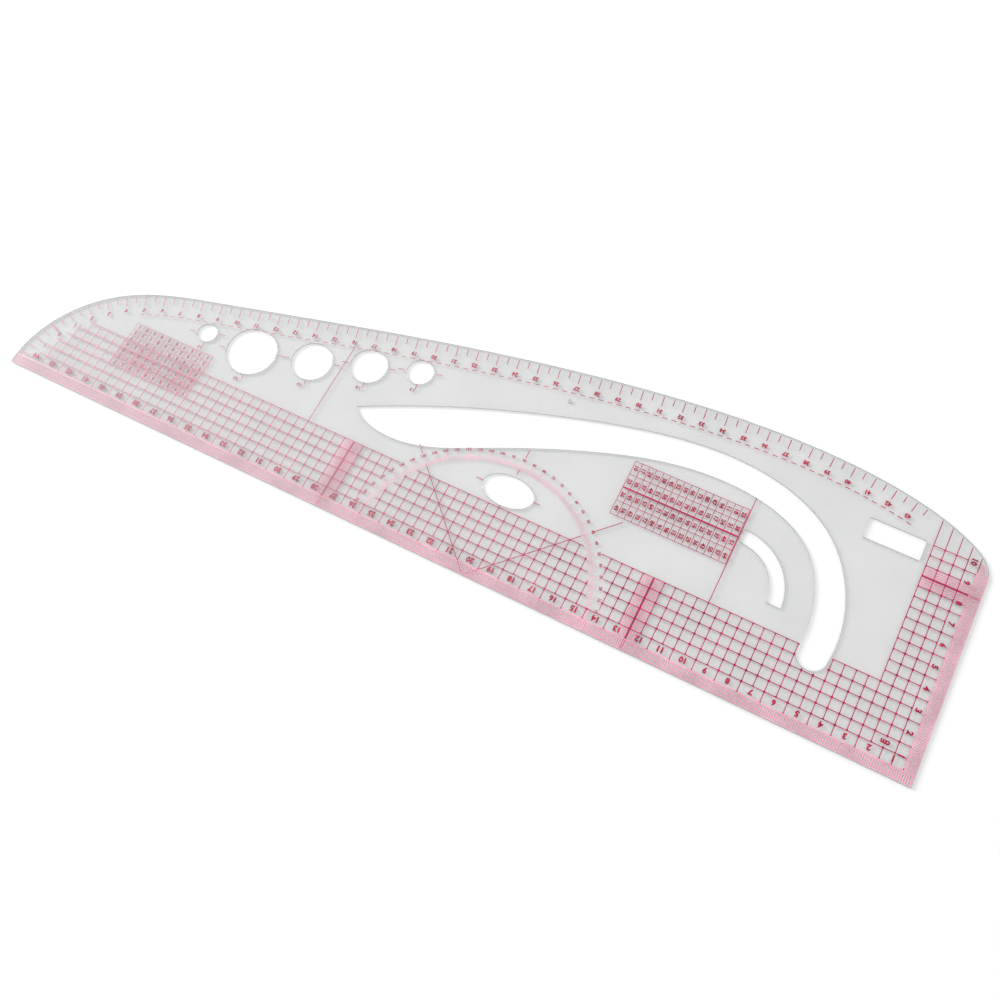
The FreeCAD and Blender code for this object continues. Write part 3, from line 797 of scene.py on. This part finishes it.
class RULER_OT_edge_numbers(bpy.types.Operator):
    """Sets the centimetre numbers of the straight edge and the end edge, and the unit"""

    bl_idname = "ruler.edge_numbers"
    bl_label = "Edge numbers"

    def execute(self, context):
        sizes = context.scene.ruler_print
        inset = sizes.scale_number_inset
        height = sizes.scale_number_height
        last = math.floor((sheet_high.x - sheet_low.x - inset) / CENTIMETRE)
        along_straight = [
            (str(number), place(number * CENTIMETRE, inset), STRAIGHT_TURN)
            for number in range(1, last + 1)
        ]
        weight = sizes.weight
        set_numbers(
            "straight_edge_type", "straight_edge_numbers", along_straight, height, weight
        )
        end_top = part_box("end_edge_numbers")[1].y - sheet_low.y
        along_end = [
            (str(number), place(inset, number * CENTIMETRE), END_TURN)
            for number in range(1, math.floor(end_top / CENTIMETRE) + 1)
        ]
        set_numbers("end_edge_type", "end_edge_numbers", along_end, height, weight)
        unit = [("cm", place(*sizes.unit_place), STRAIGHT_TURN)]
        set_numbers("unit_type", "unit_mark", unit, sizes.unit_height, weight)
        return {"FINISHED"}


class RULER_OT_curve_numbers(bpy.types.Operator):
    """Sets the centimetre numbers of the curved edge, each inside its long tick"""

    bl_idname = "ruler.curve_numbers"
    bl_label = "Curve numbers"

    def execute(self, context):
        sizes = context.scene.ruler_print
        numbered = curve_ticks()[NUMBERED_TICKS]
        entries = [
            (str(abs(number)), middle + inward * sizes.curve_number_gap, STRAIGHT_TURN)
            for number, (middle, inward) in enumerate(numbered, start=FIRST_CURVE_NUMBER)
        ]
        set_numbers(
            "curved_edge_type",
            "curved_edge_numbers",
            entries,
            sizes.curve_number_height,
            sizes.weight,
        )
        return {"FINISHED"}


class RULER_OT_protractor_numbers(bpy.types.Operator):
    """Sets the degree numbers round the protractor"""

    bl_idname = "ruler.protractor_numbers"
    bl_label = "Protractor numbers"

    def execute(self, context):
        sizes = context.scene.ruler_print
        low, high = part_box("protractor_scale")
        centre = Vector(((low.x + high.x) / 2, sheet_low.y, 0))
        radius = high.y - sheet_low.y + sizes.degree_number_gap
        entries = []
        for degrees in range(FIRST_DEGREES, LAST_DEGREES + 1, DEGREES_STEP):
            angle = math.radians(degrees)
            outward = Vector((math.cos(angle), math.sin(angle), 0))
            entries.append((str(degrees), centre + outward * radius, angle - math.pi / 2))
        set_numbers(
            "protractor_type",
            "protractor_numbers",
            entries,
            sizes.degree_number_height,
            sizes.table_weight,
        )
        return {"FINISHED"}


class RULER_OT_table_numbers(bpy.types.Operator):
    """Fills both printed tables with numbers"""

    bl_idname = "ruler.table_numbers"
    bl_label = "Table numbers"

    def execute(self, context):
        sizes = context.scene.ruler_print
        for name, layout in TABLES.items():
            set_numbers(
                f"{name}_type",
                f"{name}_numbers",
                table_entries(name, *layout),
                sizes.table_number_height,
                sizes.table_weight,
            )
        return {"FINISHED"}


class RULER_OT_hole_numbers(bpy.types.Operator):
    """Sets each round hole's diameter, in centimetres, between it and the straight edge"""

    bl_idname = "ruler.hole_numbers"
    bl_label = "Hole numbers"

    def execute(self, context):
        sizes = context.scene.ruler_print
        entries = []
        for centre, radius in round_holes():
            beside = Vector((HOLE_NUMBER_ASIDE, -radius - sizes.hole_number_gap, 0))
            text = f"{2 * radius / CENTIMETRE:.1f}"
            entries.append((text, centre + beside, STRAIGHT_TURN))
        set_numbers(
            "hole_type",
            "hole_numbers",
            entries,
            sizes.hole_number_height,
            sizes.table_weight,
        )
        return {"FINISHED"}


class RULER_OT_stage(bpy.types.Operator):
    """Lays the pale floor, and sets the soft light and the camera"""

    bl_idname = "ruler.stage"
    bl_label = "Stage"

    def lay_floor(self, stage):
        """A plain pale floor that the sheet lies on."""
        deselect_all()
        bpy.ops.mesh.primitive_plane_add(size=stage.floor_size)
        floor = bpy.context.object
        floor.name = "floor"
        floor.location.z = sheet_low.z - stage.floor_gap
        material, tree, output = new_material("floor_paint")
        look = {"Base Color": (*stage.floor_colour, 1), "Roughness": FLOOR_ROUGHNESS}
        paint = add_node(tree, "ShaderNodeBsdfPrincipled", look)
        tree.links.new(paint.outputs["BSDF"], output.inputs["Surface"])
        give(floor, material)

    def set_light(self, scene, stage):
        """White light from all round, and a large soft lamp beyond the tip."""
        world = bpy.data.worlds.new("white_room")
        world.use_nodes = True
        sky = world.node_tree.nodes["Background"]
        sky.inputs["Color"].default_value = WHITE
        sky.inputs["Strength"].default_value = stage.sky_strength
        scene.world = world
        deselect_all()
        place_of_lamp = Vector(stage.lamp_place)
        turn = place_of_lamp.to_track_quat("Z", "Y").to_euler()
        bpy.ops.object.light_add(type="AREA", location=place_of_lamp, rotation=turn)
        lamp = bpy.context.object
        lamp.name = "soft_lamp"
        lamp.data.energy = stage.lamp_power
        lamp.data.size = stage.lamp_size
        scene.view_settings.view_transform = "Standard"

    def set_camera(self, scene, stage):
        """The camera, looking down from beyond the straight edge."""
        deselect_all()
        bpy.ops.object.camera_add(location=stage.camera_place, rotation=stage.camera_turn)
        camera = bpy.context.object
        camera.name = "camera"
        camera.data.lens = stage.camera_lens
        camera.data.sensor_width = SENSOR_WIDTH
        camera.data.clip_start = NEAREST_SEEN
        scene.camera = camera

    def execute(self, context):
        stage = context.scene.ruler_stage
        self.lay_floor(stage)
        self.set_light(context.scene, stage)
        self.set_camera(context.scene, stage)
        return {"FINISHED"}


MAKERS = (
    RULER_OT_clear_sheet,
    RULER_OT_printed_lines,
    RULER_OT_edge_numbers,
    RULER_OT_curve_numbers,
    RULER_OT_protractor_numbers,
    RULER_OT_table_numbers,
    RULER_OT_hole_numbers,
    RULER_OT_stage,
)


class RULER_PT_panel(bpy.types.Panel):
    """Lists the ruler's makers and what can be changed"""

    bl_idname = "RULER_PT_panel"
    bl_label = "Pattern Drafting Ruler"
    bl_space_type = "VIEW_3D"
    bl_region_type = "UI"
    bl_category = "Ruler"

    def draw(self, context):
        layout = self.layout
        for maker in MAKERS:
            layout.operator(maker.bl_idname)
        for group in ("ruler_print", "ruler_finish", "ruler_stage"):
            settings = getattr(context.scene, group)
            box = layout.box()
            for name in settings.__annotations__:
                box.prop(settings, name)


GROUPS = {
    "ruler_print": RulerPrint,
    "ruler_finish": RulerFinish,
    "ruler_stage": RulerStage,
}


def register():
    """Registers every class, and gives the scene its settings."""
    for item in (*GROUPS.values(), *MAKERS, RULER_PT_panel):
        bpy.utils.register_class(item)
    for name, group in GROUPS.items():
        setattr(bpy.types.Scene, name, PointerProperty(type=group))


def unregister():
    """Takes the settings and the classes away again."""
    for name in GROUPS:
        delattr(bpy.types.Scene, name)
    for item in (RULER_PT_panel, *reversed(MAKERS), *reversed(GROUPS.values())):
        bpy.utils.unregister_class(item)


def main():
    """Makes the whole ruler and its stage."""
    register()
    bpy.ops.ruler.clear_sheet()
    bpy.ops.ruler.printed_lines()
    bpy.ops.ruler.edge_numbers()
    bpy.ops.ruler.curve_numbers()
    bpy.ops.ruler.protractor_numbers()
    bpy.ops.ruler.table_numbers()
    bpy.ops.ruler.hole_numbers()
    bpy.ops.ruler.stage()


if __name__ == "__main__":
    main()
